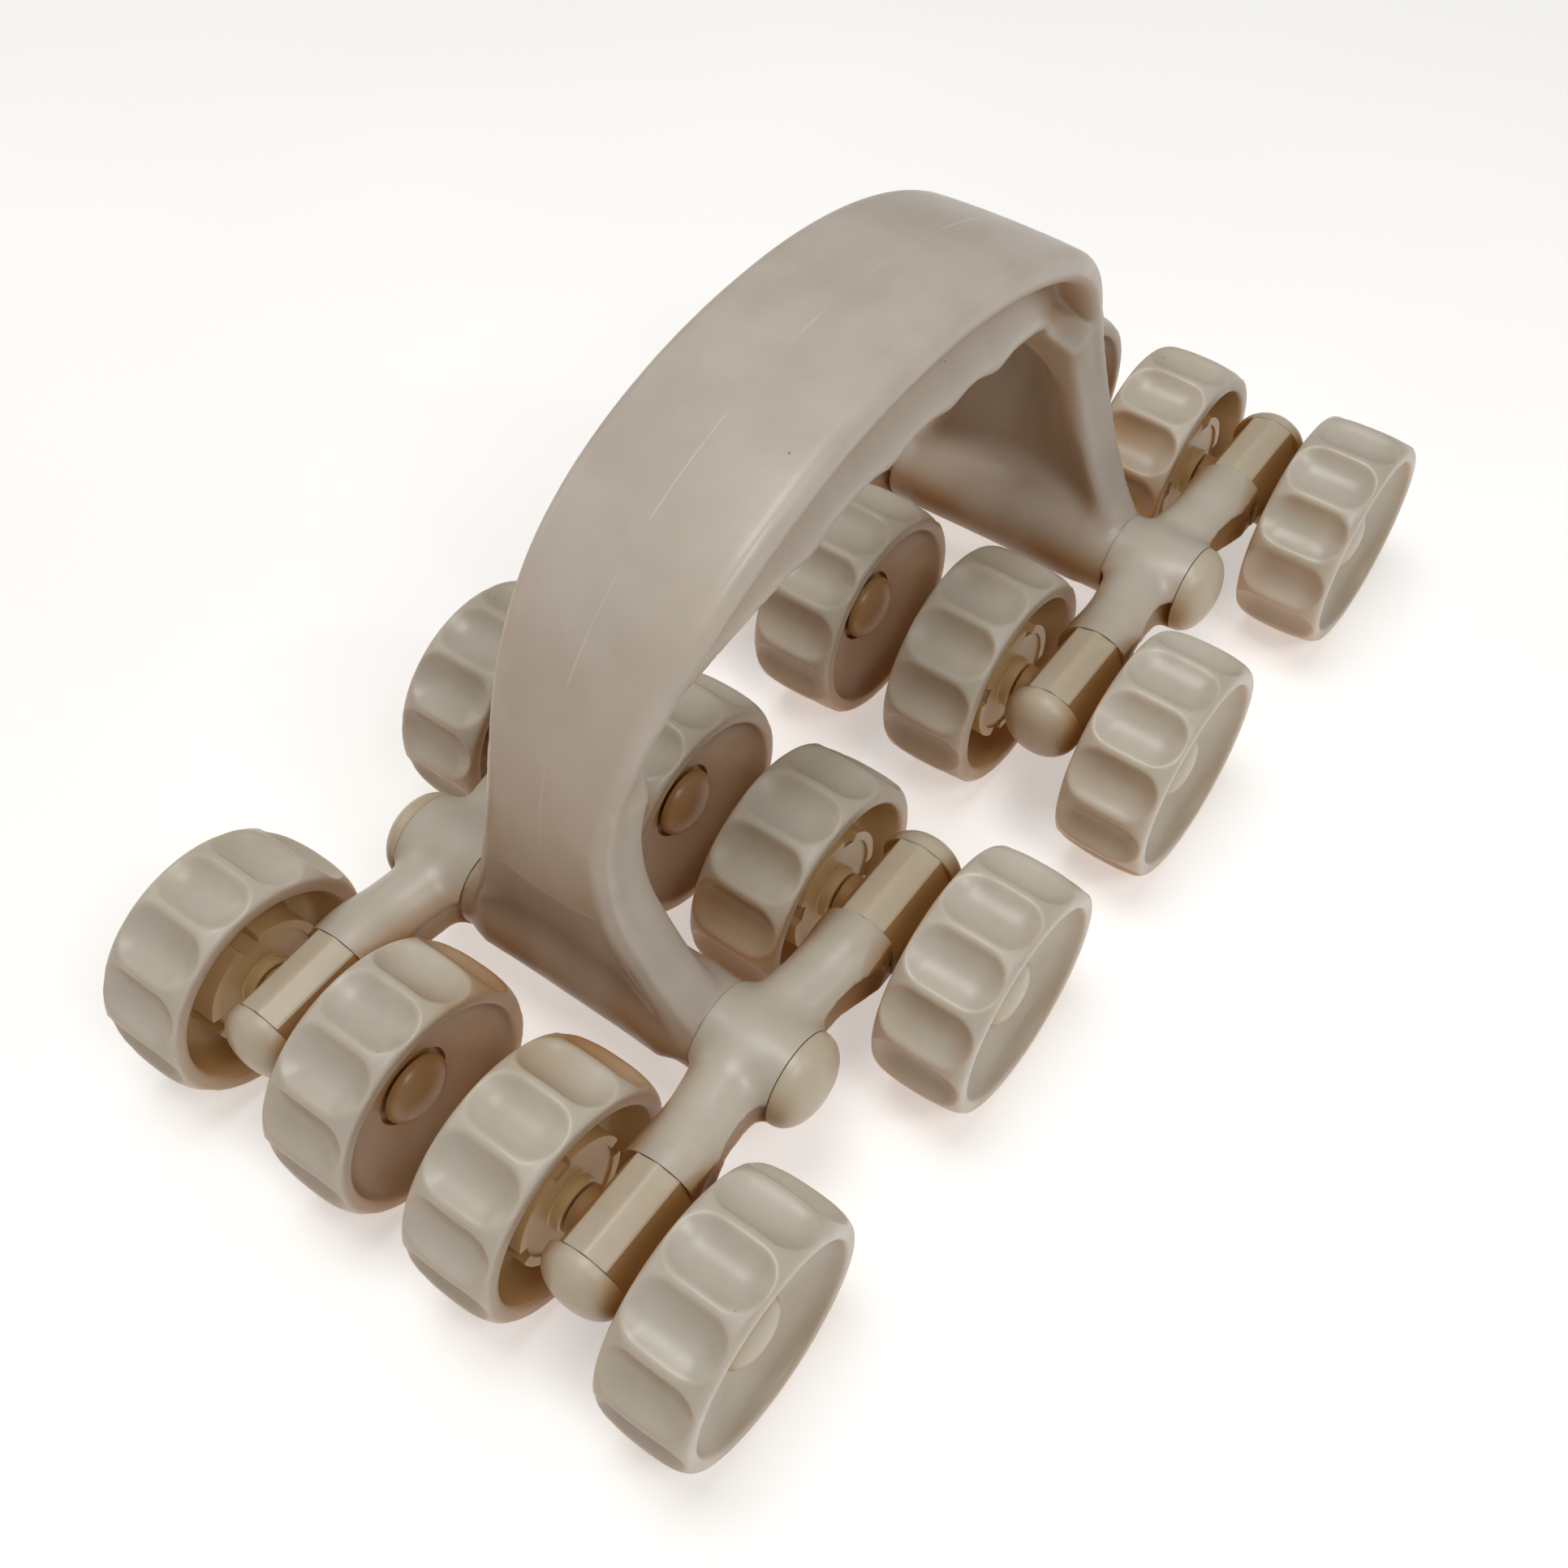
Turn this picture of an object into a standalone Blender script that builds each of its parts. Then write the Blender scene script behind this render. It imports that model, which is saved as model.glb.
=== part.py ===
"""Hand-held roller massager: an arched grip, rocking yokes, swivel sleeves and free wheels.

X runs along the arch, Y across it and Z up. The origin is on the floor under the middle.
The two cross bars of the handle lie along Y. Each bar end carries a yoke that rocks about the
bar, each yoke arm carries a sleeve that swivels about the arm, and each sleeve carries the
axle of two free-turning wheels.
"""
import math

import bmesh
import bpy
from mathutils import Vector

MM = 0.001

# Driving dimensions
WHEEL_RADIUS = 19.0 * MM
WHEEL_HALF_WIDTH = 7.5 * MM
WHEEL_SHOULDER_RADIUS = 17.0 * MM
WHEEL_RIM_INNER_RADIUS = 14.6 * MM
WHEEL_HUB_RADIUS = 4.2 * MM
WHEEL_WEB_INNER = 0.4 * MM
WHEEL_WEB_OUTER = 3.0 * MM
SCALLOPS = 12
SCALLOP_DEPTH = 1.1 * MM
AXLE_HEIGHT = WHEEL_RADIUS
ARM_HEIGHT = 23.9 * MM
BAR_X = 55.1 * MM
AXLE_OFFSET_X = 30.1 * MM
ARM_Y = 29.0 * MM
WHEEL_OFFSET_Y = 16.1 * MM

BAR_RADIUS = 7.0 * MM
BAR_HALF_LENGTH = 20.9 * MM
BAR_PIN_RADIUS = 2.3 * MM
AXLE_PIN_RADIUS = 1.3 * MM
PIN_TAIL = 1.7 * MM
PIN_SOCKET_DEPTH = 2.0 * MM
CLEARANCE = 0.3 * MM

HUB_RADIUS = 7.3 * MM
HUB_OUTER_Y = 34.1 * MM
HUB_CAP_HEIGHT = 4.4 * MM
ARM_ROOT_RADIUS = 4.9 * MM
ARM_ROOT_X = 6.0 * MM
ARM_NECK_RADIUS = 5.3 * MM
ARM_NECK_X = 11.5 * MM
ARM_FLARE_RADIUS = 5.7 * MM
ARM_FLARE_X = 16.0 * MM
ARM_SHOULDER_X = 20.0 * MM
ARM_COLLAR_X = 22.7 * MM
ARM_SPIGOT_RADIUS = 2.3 * MM
ARM_SPIGOT_TAIL = 2.4 * MM
ARM_SOCKET_DEPTH = 2.7 * MM

SLEEVE_RADIUS = 6.6 * MM
SLEEVE_LENGTH = 14.0 * MM
SLEEVE_BOSS_RADIUS = 3.9 * MM
SLEEVE_BOSS_HALF_LENGTH = 8.2 * MM
ARM_CAP_GAP = 0.6 * MM
ARM_CAP_RADIUS = 6.5 * MM
ARM_CAP_HEIGHT = 4.6 * MM
AXLE_CAP_RADIUS = 5.6 * MM
AXLE_CAP_HEIGHT = 3.1 * MM
AXLE_CAP_FACE = WHEEL_OFFSET_Y + WHEEL_WEB_OUTER + CLEARANCE

HANDLE_TOP = 100.4 * MM
HANDLE_HALF_SPAN = 62.9 * MM
HANDLE_SHOULDER_Z = 47.0 * MM
HANDLE_FOOT_X = BAR_X + 6.3 * MM
BAND_HALF_WIDTH = 11.8 * MM
WAIST_HALF_WIDTH = 9.8 * MM
FOOT_HALF_WIDTH = 20.2 * MM
ARCH_THICKNESS = 16.4 * MM
LEG_THICKNESS = 9.4 * MM
FOOT_THICKNESS = 12.6 * MM
ARCH_ROUNDNESS = 0.93
FLARE_TOP_Z = 44.0 * MM
FLARE_HEIGHT = 15.0 * MM
WIDEN_START_Z = 52.0 * MM
WIDEN_HEIGHT = 34.0 * MM
THICKEN_POWER = 2.2
GROOVE_START_Z = 64.0 * MM
GROOVE_RISE = 16.0 * MM
GROOVE_DEPTH = 5.5 * MM
FINGER_WAVE_HEIGHT = 0.8 * MM
FINGER_WAVE_PITCH = 17.0 * MM
FINGER_WAVE_REACH = 38.0 * MM

IVORY = (0.62, 0.55, 0.44, 1.0)
CREAM = (0.66, 0.59, 0.46, 1.0)
TAN = (0.52, 0.42, 0.28, 1.0)


def clear_scene():
    for obj in list(bpy.data.objects):
        bpy.data.objects.remove(obj, do_unlink=True)


def plastic(name, colour):
    material = bpy.data.materials.new(name)
    material.use_nodes = True
    shader = material.node_tree.nodes["Principled BSDF"]
    shader.inputs["Base Color"].default_value = colour
    shader.inputs["Roughness"].default_value = 0.35
    shader.inputs["Metallic"].default_value = 0.0
    material.diffuse_color = colour
    return material


def add_object(name, bm, material):
    """Turn a bmesh into an object with outward faces and smooth round sides."""
    bmesh.ops.recalc_face_normals(bm, faces=bm.faces)
    mesh = bpy.data.meshes.new(name)
    bm.to_mesh(mesh)
    bm.free()
    mesh.materials.append(material)
    mesh.shade_smooth()
    mesh.set_sharp_from_angle(angle=math.radians(40))
    obj = bpy.data.objects.new(name, mesh)
    bpy.context.scene.collection.objects.link(obj)
    return obj


def copy_object(name, source):
    obj = bpy.data.objects.new(name, source.data)
    bpy.context.scene.collection.objects.link(obj)
    return obj


def turned(outline, steps, radius_at=None):
    """Spin an outline of (radius, height) points about Z.

    A first or last radius of zero becomes a pole. An outline with no zero radius is a closed
    ring. radius_at(radius, height, step) may change a point's radius around the turn.
    """
    bm = bmesh.new()
    rings = []
    for radius, height in outline:
        if radius == 0.0:
            rings.append([bm.verts.new((0.0, 0.0, height))])
            continue
        ring = []
        for step in range(steps):
            angle = 2.0 * math.pi * step / steps
            r = radius_at(radius, height, step) if radius_at else radius
            ring.append(bm.verts.new((r * math.cos(angle), r * math.sin(angle), height)))
        rings.append(ring)
    is_ring = all(len(ring) > 1 for ring in rings)
    pairs = list(zip(rings, rings[1:]))
    if is_ring:
        pairs.append((rings[-1], rings[0]))
    for lower, upper in pairs:
        for step in range(steps):
            after = (step + 1) % steps
            if len(lower) == 1:
                bm.faces.new((lower[0], upper[step], upper[after]))
            elif len(upper) == 1:
                bm.faces.new((lower[step], lower[after], upper[0]))
            else:
                bm.faces.new((lower[step], lower[after], upper[after], upper[step]))
    return bm


def along_x(obj, location, sign=1):
    """Lay a turned object's Z axis along +X or -X."""
    obj.rotation_euler = (0.0, sign * math.pi / 2.0, 0.0)
    obj.location = location


def along_y(obj, location, sign=1):
    """Lay a turned object's Z axis along +Y or -Y."""
    obj.rotation_euler = (-sign * math.pi / 2.0, 0.0, 0.0)
    obj.location = location


def rod(radius, length, steps):
    """A plain rod centred on its own origin."""
    half = length / 2.0
    return turned([(0.0, -half), (radius, -half), (radius, half), (0.0, half)], steps)


def cut_or_join(target, tool, operation):
    modifier = target.modifiers.new(operation.title(), "BOOLEAN")
    modifier.operation = operation
    modifier.solver = "EXACT"
    modifier.object = tool
    tool.hide_render = True
    tool.display_type = "WIRE"


def dome(radius, height, socket_radius, socket_depth, steps, name, material):
    """A domed cap with its flat side at Z = 0 and a blind socket in that side."""
    outline = [(0.0, socket_depth), (socket_radius, socket_depth), (socket_radius, 0.0), (radius, 0.0)]
    skirt = 0.3 * height
    outline += [(radius, skirt), (0.72 * radius, skirt + 0.7 * (height - skirt)), (0.0, height)]
    return add_object(name, turned(outline, steps), material)


# Handle

def arch_point(turn):
    """A point (x, z) on the handle's outer line; turn runs from 0 at -X to pi at +X."""
    sweep = math.cos(turn)
    rise = max(0.0, math.sin(turn))
    x = -HANDLE_HALF_SPAN * math.copysign(abs(sweep) ** ARCH_ROUNDNESS, sweep)
    z = HANDLE_SHOULDER_Z + (HANDLE_TOP - HANDLE_SHOULDER_Z) * rise ** ARCH_ROUNDNESS
    return Vector((x, z))


def smooth_step(value):
    value = min(1.0, max(0.0, value))
    return value * value * (3.0 - 2.0 * value)


def section(half_width, inner_half_width, thickness, groove):
    """Half of a section from the outer face inwards: (depth from the outer face, y)."""
    return [
        (0.0, 0.55 * half_width),
        (0.05 * thickness, 0.86 * half_width),
        (0.17 * thickness, half_width),
        (0.36 * thickness, half_width - 0.2 * groove),
        (0.44 * thickness, half_width - groove),
        (0.60 * thickness, half_width - groove),
        (0.68 * thickness, inner_half_width),
        (0.86 * thickness, inner_half_width),
        (0.97 * thickness, 0.8 * inner_half_width),
        (thickness, 0.45 * inner_half_width),
    ]


def handle_sections():
    """Loops of points along the handle from the foot at -X over the arch to the foot at +X."""
    leg_steps = 6
    arch_steps = 22
    path = []
    foot = Vector((-HANDLE_FOOT_X, ARM_HEIGHT))
    start = arch_point(0.0)
    for step in range(leg_steps):
        path.append(foot.lerp(start, step / leg_steps))
    for step in range(arch_steps + 1):
        path.append(arch_point(math.pi * step / arch_steps))
    for point in reversed(path[:leg_steps]):
        path.append(Vector((-point.x, point.y)))

    loops = []
    for index, point in enumerate(path):
        before = path[max(index - 1, 0)]
        after = path[min(index + 1, len(path) - 1)]
        along = (after - before).normalized()
        inward = Vector((along.y, -along.x))
        height = point.y
        flare = smooth_step((FLARE_TOP_Z - height) / FLARE_HEIGHT)
        arch = smooth_step((height - WIDEN_START_Z) / WIDEN_HEIGHT)
        rise = max(0.0, height - WIDEN_START_Z) / (HANDLE_TOP - WIDEN_START_Z)
        half_width = WAIST_HALF_WIDTH + (BAND_HALF_WIDTH - WAIST_HALF_WIDTH) * arch
        half_width += (FOOT_HALF_WIDTH - WAIST_HALF_WIDTH) * flare
        thickness = LEG_THICKNESS + (ARCH_THICKNESS - LEG_THICKNESS) * rise ** THICKEN_POWER
        thickness += (FOOT_THICKNESS - LEG_THICKNESS) * flare
        if abs(point.x) < FINGER_WAVE_REACH:
            wave = math.cos(2.0 * math.pi * point.x / FINGER_WAVE_PITCH)
            thickness += FINGER_WAVE_HEIGHT * wave * arch
        groove = GROOVE_DEPTH * smooth_step((height - GROOVE_START_Z) / GROOVE_RISE)
        half = section(half_width, half_width - 0.35 * groove, thickness, groove)
        outline = half + [(depth, -y) for depth, y in reversed(half)]
        loops.append([
            (point.x + inward.x * depth, y, point.y + inward.y * depth)
            for depth, y in outline
        ])
    return loops


def make_handle(material):
    bm = bmesh.new()
    rings = []
    for loop in handle_sections():
        rings.append([bm.verts.new(point) for point in loop])
    for first, second in zip(rings, rings[1:]):
        count = len(first)
        for index in range(count):
            after = (index + 1) % count
            bm.faces.new((first[index], first[after], second[after], second[index]))
    bm.faces.new(rings[0])
    bm.faces.new(rings[-1])
    handle = add_object("handle", bm, material)
    for side in (-1, 1):
        centre = (side * BAR_X, 0.0, ARM_HEIGHT)
        bar = add_object("bar_guide", rod(BAR_RADIUS, 2.0 * BAR_HALF_LENGTH, 24), material)
        along_y(bar, centre)
        cut_or_join(handle, bar, "UNION")
    for side in (-1, 1):
        centre = (side * BAR_X, 0.0, ARM_HEIGHT)
        bore = add_object(
            "bar_bore_guide", rod(BAR_PIN_RADIUS + CLEARANCE, 4.0 * BAR_HALF_LENGTH, 12), material)
        along_y(bore, centre)
        cut_or_join(handle, bore, "DIFFERENCE")
    return handle


def make_bar_pins(material):
    """One pin through each bar carries a yoke at both ends."""
    half_length = HUB_OUTER_Y + CLEARANCE + PIN_TAIL
    for number, side in enumerate((-1, 1), start=1):
        pin = add_object(f"bar_pin_{number}", rod(BAR_PIN_RADIUS, 2.0 * half_length, 12), material)
        along_y(pin, (side * BAR_X, 0.0, ARM_HEIGHT))


# Yokes

def arm_outline():
    """The turned outline of both arms, tip to tip, as (radius, distance from the hub axis)."""
    tip = AXLE_OFFSET_X + SLEEVE_LENGTH / 2.0 + ARM_CAP_GAP + ARM_SPIGOT_TAIL
    half = [
        (ARM_ROOT_RADIUS, 0.0),
        (ARM_ROOT_RADIUS, ARM_ROOT_X),
        (ARM_NECK_RADIUS, ARM_NECK_X),
        (ARM_FLARE_RADIUS, ARM_FLARE_X),
        (SLEEVE_RADIUS, ARM_SHOULDER_X),
        (SLEEVE_RADIUS, ARM_COLLAR_X),
        (ARM_SPIGOT_RADIUS, ARM_COLLAR_X),
        (ARM_SPIGOT_RADIUS, tip),
        (0.0, tip),
    ]
    return [(radius, -distance) for radius, distance in reversed(half[1:])] + half


def make_yoke(name, bar_side, y_side, material):
    """A hub on the bar's end with an arm each way along X; its origin is on the bar's axis."""
    centre = Vector((bar_side * BAR_X, y_side * ARM_Y, ARM_HEIGHT))
    pivot = bpy.data.objects.new(name + "_pivot", None)
    pivot.location = (centre.x, 0.0, ARM_HEIGHT)
    bpy.context.scene.collection.objects.link(pivot)

    yoke = add_object(name, turned(arm_outline(), 14), material)
    along_x(yoke, (0.0, centre.y, 0.0))
    yoke.parent = pivot

    inner_y = BAR_HALF_LENGTH + CLEARANCE
    hub_length = HUB_OUTER_Y - inner_y
    hub_y = y_side * (inner_y + hub_length / 2.0)
    hub = add_object(name + "_hub_guide", rod(HUB_RADIUS, hub_length, 18), material)
    along_y(hub, (centre.x, hub_y, ARM_HEIGHT))
    cut_or_join(yoke, hub, "UNION")
    bore = add_object(
        name + "_bore_guide", rod(BAR_PIN_RADIUS + CLEARANCE, 2.0 * hub_length, 12), material)
    along_y(bore, (centre.x, hub_y, ARM_HEIGHT))
    cut_or_join(yoke, bore, "DIFFERENCE")


def make_hub_cap(name, bar_side, y_side, material):
    socket = BAR_PIN_RADIUS + CLEARANCE
    radius = HUB_RADIUS - CLEARANCE
    cap = dome(radius, HUB_CAP_HEIGHT, socket, PIN_SOCKET_DEPTH, 14, name, material)
    face_y = y_side * (HUB_OUTER_Y + CLEARANCE)
    along_y(cap, (bar_side * BAR_X, face_y, ARM_HEIGHT), y_side)


def make_arm_cap(name, centre, x_side, material):
    socket = ARM_SPIGOT_RADIUS + CLEARANCE
    cap = dome(ARM_CAP_RADIUS, ARM_CAP_HEIGHT, socket, ARM_SOCKET_DEPTH, 12, name, material)
    face_x = x_side * (SLEEVE_LENGTH / 2.0 + ARM_CAP_GAP)
    along_x(cap, (centre.x + face_x, centre.y, ARM_HEIGHT), x_side)


# Sleeves, axles and wheels

def make_sleeve(name, centre, material):
    """A swivel sleeve round the arm with a cross boss below it for the wheel axle."""
    bore_radius = ARM_SPIGOT_RADIUS + CLEARANCE
    half = SLEEVE_LENGTH / 2.0
    outline = [
        (bore_radius, -half),
        (SLEEVE_RADIUS, -half),
        (SLEEVE_RADIUS, half),
        (bore_radius, half),
    ]
    sleeve = add_object(name, turned(outline, 14), material)
    along_x(sleeve, (centre.x, centre.y, ARM_HEIGHT))
    boss_outline = [
        (0.0, -SLEEVE_BOSS_HALF_LENGTH),
        (SLEEVE_BOSS_RADIUS, -SLEEVE_BOSS_HALF_LENGTH),
        (SLEEVE_BOSS_RADIUS, SLEEVE_BOSS_HALF_LENGTH),
        (0.0, SLEEVE_BOSS_HALF_LENGTH),
    ]
    boss = add_object(name + "_boss_guide", turned(boss_outline, 12), material)
    along_y(boss, (centre.x, centre.y, AXLE_HEIGHT))
    cut_or_join(sleeve, boss, "UNION")
    arm_bore = add_object(
        name + "_arm_bore_guide", rod(bore_radius, 2.0 * SLEEVE_LENGTH, 14), material)
    along_x(arm_bore, (centre.x, centre.y, ARM_HEIGHT))
    cut_or_join(sleeve, arm_bore, "DIFFERENCE")
    axle_bore = add_object(
        name + "_axle_bore_guide",
        rod(AXLE_PIN_RADIUS + CLEARANCE, 4.0 * SLEEVE_BOSS_HALF_LENGTH, 10), material)
    along_y(axle_bore, (centre.x, centre.y, AXLE_HEIGHT))
    cut_or_join(sleeve, axle_bore, "DIFFERENCE")


def wheel_outline():
    """The wheel's closed outline as (radius, height); +height is the capped outer side."""
    bore = AXLE_PIN_RADIUS + CLEARANCE
    half = WHEEL_HALF_WIDTH
    inner_rim = WHEEL_RIM_INNER_RADIUS
    return [
        (bore, -half),
        (WHEEL_HUB_RADIUS, -half),
        (WHEEL_HUB_RADIUS, WHEEL_WEB_INNER),
        (inner_rim, WHEEL_WEB_INNER),
        (inner_rim, -half),
        (WHEEL_SHOULDER_RADIUS, -half),
        (WHEEL_RADIUS, -0.45 * half),
        (WHEEL_RADIUS, 0.45 * half),
        (WHEEL_SHOULDER_RADIUS, half),
        (inner_rim, half),
        (inner_rim, WHEEL_WEB_OUTER),
        (bore, WHEEL_WEB_OUTER),
    ]


def scalloped(radius, _height, step):
    """Sink every second step of the tread's middle rings into a shallow scallop."""
    if radius == WHEEL_RADIUS and step % 2 == 1:
        return radius - SCALLOP_DEPTH
    return radius


def make_wheels(centres, material):
    shared = None
    for name, centre, cap_side in centres:
        if shared is None:
            shared = add_object(name, turned(wheel_outline(), 2 * SCALLOPS, scalloped), material)
            wheel = shared
        else:
            wheel = copy_object(name, shared)
        along_y(wheel, centre, cap_side)


def make_axle(name, centre, material):
    """A pin through the sleeve's boss and both wheels with a domed head at its -Y end."""
    head_face = -AXLE_CAP_FACE
    tail = AXLE_CAP_FACE + PIN_TAIL
    skirt = 0.3 * AXLE_CAP_HEIGHT
    outline = [
        (0.0, head_face - AXLE_CAP_HEIGHT),
        (0.72 * AXLE_CAP_RADIUS, head_face - skirt - 0.7 * (AXLE_CAP_HEIGHT - skirt)),
        (AXLE_CAP_RADIUS, head_face - skirt),
        (AXLE_CAP_RADIUS, head_face),
        (AXLE_PIN_RADIUS, head_face),
        (AXLE_PIN_RADIUS, tail),
        (0.0, tail),
    ]
    axle = add_object(name, turned(outline, 10), material)
    along_y(axle, (centre.x, centre.y, AXLE_HEIGHT))


def make_axle_cap(name, centre, material):
    """The matching cap pressed on the axle's +Y end."""
    socket = AXLE_PIN_RADIUS + CLEARANCE
    cap = dome(AXLE_CAP_RADIUS, AXLE_CAP_HEIGHT, socket, PIN_SOCKET_DEPTH, 10, name, material)
    along_y(cap, (centre.x, centre.y + AXLE_CAP_FACE, AXLE_HEIGHT))


def main():
    clear_scene()
    ivory = plastic("ivory_plastic", IVORY)
    cream = plastic("cream_plastic", CREAM)
    tan = plastic("tan_plastic", TAN)

    make_handle(ivory)
    make_bar_pins(tan)
    wheel_centres = []
    yoke_number = 0
    for bar_side in (-1, 1):
        for y_side in (-1, 1):
            yoke_number += 1
            make_yoke(f"yoke_{yoke_number}", bar_side, y_side, ivory)
            make_hub_cap(f"hub_cap_{yoke_number}", bar_side, y_side, cream)
            for arm, x_side in (("a", -1), ("b", 1)):
                label = f"{yoke_number}{arm}"
                centre = Vector((
                    bar_side * BAR_X + x_side * AXLE_OFFSET_X, y_side * ARM_Y, AXLE_HEIGHT))
                make_sleeve(f"sleeve_{label}", centre, cream)
                make_arm_cap(f"arm_cap_{label}", centre, x_side, cream)
                make_axle(f"axle_{label}", centre, tan)
                make_axle_cap(f"axle_cap_{label}", centre, cream)
                for place, wheel_side in (("near", -1), ("far", 1)):
                    offset = Vector((0.0, wheel_side * WHEEL_OFFSET_Y, 0.0))
                    wheel_centres.append((f"wheel_{label}_{place}", centre + offset, wheel_side))
    make_wheels(wheel_centres, ivory)


main()
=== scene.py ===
"""Roller massager: detailed moulded pieces, plastic materials, light and camera."""
import math

import bmesh
import bpy
import numpy as np
from mathutils import Matrix, Vector


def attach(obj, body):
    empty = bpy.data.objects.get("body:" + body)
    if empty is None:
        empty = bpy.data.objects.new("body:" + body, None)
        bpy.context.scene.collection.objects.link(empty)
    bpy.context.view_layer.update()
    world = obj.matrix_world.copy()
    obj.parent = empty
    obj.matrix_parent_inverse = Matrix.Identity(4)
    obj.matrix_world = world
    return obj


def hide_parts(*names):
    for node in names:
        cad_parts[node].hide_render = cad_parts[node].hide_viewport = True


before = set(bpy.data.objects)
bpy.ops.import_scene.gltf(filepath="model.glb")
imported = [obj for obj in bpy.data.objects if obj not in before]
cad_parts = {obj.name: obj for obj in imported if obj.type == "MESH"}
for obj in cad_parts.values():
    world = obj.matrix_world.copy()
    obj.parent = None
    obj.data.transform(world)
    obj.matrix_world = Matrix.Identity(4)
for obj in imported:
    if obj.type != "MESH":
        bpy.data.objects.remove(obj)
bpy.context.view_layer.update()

MM = 0.001
QUARTER = math.pi / 2.0

# The CAD model's layout in millimetres, with the gaps at its seams closed to under 0.1
WHEEL_RADIUS = 19.0
AXLE_HEIGHT = 19.0
ARM_HEIGHT = 23.9
BAR_X = 55.1
BAR_RADIUS = 7.0
BAR_END = 21.0
ARM_Y = 29.0
HUB_RADIUS = 7.3
HUB_START = 21.08
HUB_END = 34.1
HUB_CAP_BASE = 34.17
SLEEVE_X = 30.1
SLEEVE_HALF = 7.32
SLEEVE_RADIUS = 6.6
ARM_END = 22.7
ARM_CAP_BASE = 37.48
WHEEL_Y = 16.1

# The camera stands where the photograph was taken
CAMERA_AZIMUTH = math.radians(-51.69)
CAMERA_ELEVATION = math.radians(53.11)
CAMERA_ROLL = math.radians(-2.44)
CAMERA_DISTANCE = 272.3 * MM
CAMERA_TARGET = Vector((-11.78, 0.19, 16.34)) * MM
CAMERA_LENS = 39.6


def smooth_step(value):
    value = np.clip(value, 0.0, 1.0)
    return value * value * (3.0 - 2.0 * value)


def rising(value, zone):
    """0 below the zone, 1 above it, and smooth between its two ends."""
    start, end = zone
    return smooth_step((value - start) / (end - start))


# Solid fields: negative inside, in millimetres, on arrays of points

SETTLE_PASSES = 3
RELAX_PASSES = 2
FLATTEST_SLOPE = 0.05
SLIVER = 0.05


def blend_min(first, second, radius):
    """Union of two fields with a fillet of about the given radius."""
    overlap = np.maximum(radius - np.abs(first - second), 0.0) / radius
    return np.minimum(first, second) - overlap * overlap * radius * 0.25


def blend_max(first, second, radius):
    """Intersection of two fields with a rounded edge."""
    return -blend_min(-first, -second, radius)


def rounded_box(along, across, half_along, half_across, radius):
    """Distance to a rounded rectangle centred on zero."""
    a = np.abs(along) - half_along + radius
    b = np.abs(across) - half_across + radius
    outside = np.hypot(np.maximum(a, 0.0), np.maximum(b, 0.0))
    return outside + np.minimum(np.maximum(a, b), 0.0) - radius


def gradient(field, points, step=0.02):
    """The field's slope at each point, by central differences."""
    slopes = []
    for axis in range(3):
        shift = np.zeros(3)
        shift[axis] = step
        slopes.append((field(points + shift) - field(points - shift)) / (2.0 * step))
    return np.stack(slopes, axis=1)


def settle(field, points, limit):
    """Move points onto the field's zero surface."""
    for _ in range(SETTLE_PASSES):
        slope = gradient(field, points)
        size = np.maximum((slope * slope).sum(axis=1), FLATTEST_SLOPE)
        move = slope * (field(points) / size)[:, None]
        length = np.maximum(np.linalg.norm(move, axis=1), 1e-9)
        points = points - move * np.minimum(1.0, limit / length)[:, None]
    return points


def surface(field, low, high, cell):
    """Quads over the zero surface of a field, as (points, quads) in millimetres."""
    low = np.array(low, float)
    counts = np.ceil((np.array(high, float) - low) / cell).astype(int) + 1
    axes = [low[k] + cell * np.arange(counts[k]) for k in range(3)]
    grid = np.stack(np.meshgrid(*axes, indexing="ij"), axis=-1)
    inside = field(grid.reshape(-1, 3)).reshape(counts) < 0.0
    # The border of the grid counts as outside, so that the surface is closed
    for axis in range(3):
        border = np.moveaxis(inside, axis, 0)
        border[0] = False
        border[-1] = False
    corners = np.zeros(counts - 1, int)
    for a in (0, 1):
        for b in (0, 1):
            for c in (0, 1):
                corners += inside[a:counts[0] - 1 + a, b:counts[1] - 1 + b, c:counts[2] - 1 + c]
    active = (corners > 0) & (corners < 8)
    number = np.full(active.shape, -1)
    number[active] = np.arange(active.sum())
    points = low + (np.argwhere(active) + 0.5) * cell
    quads = []
    for axis in range(3):
        other = [(axis + 1) % 3, (axis + 2) % 3]
        ahead = np.diff(inside.astype(int), axis=axis)
        edges = np.argwhere(ahead != 0)
        edges = edges[(edges[:, other[0]] > 0) & (edges[:, other[1]] > 0)]
        leaving = ahead[tuple(edges.T)] < 0
        ring = []
        for back_first, back_second in ((1, 1), (0, 1), (0, 0), (1, 0)):
            cells = edges.copy()
            cells[:, other[0]] -= back_first
            cells[:, other[1]] -= back_second
            ring.append(number[tuple(cells.T)])
        ring = np.stack(ring, axis=1)
        ring[~leaving] = ring[~leaving][:, ::-1]
        quads.append(ring)
    quads = np.concatenate(quads)
    points = settle(field, points, cell)
    for _ in range(RELAX_PASSES):
        points = settle(field, relaxed(points, quads), cell)
    return points, quads


def relaxed(points, quads):
    """Each point moved half way to the mean of its neighbours."""
    total = np.zeros_like(points)
    count = np.zeros(len(points))
    for a, b in ((0, 1), (1, 2), (2, 3), (3, 0)):
        for here, there in ((a, b), (b, a)):
            np.add.at(total, quads[:, here], points[quads[:, there]])
            np.add.at(count, quads[:, here], 1.0)
    return 0.5 * points + 0.5 * total / np.maximum(count, 1.0)[:, None]


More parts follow.
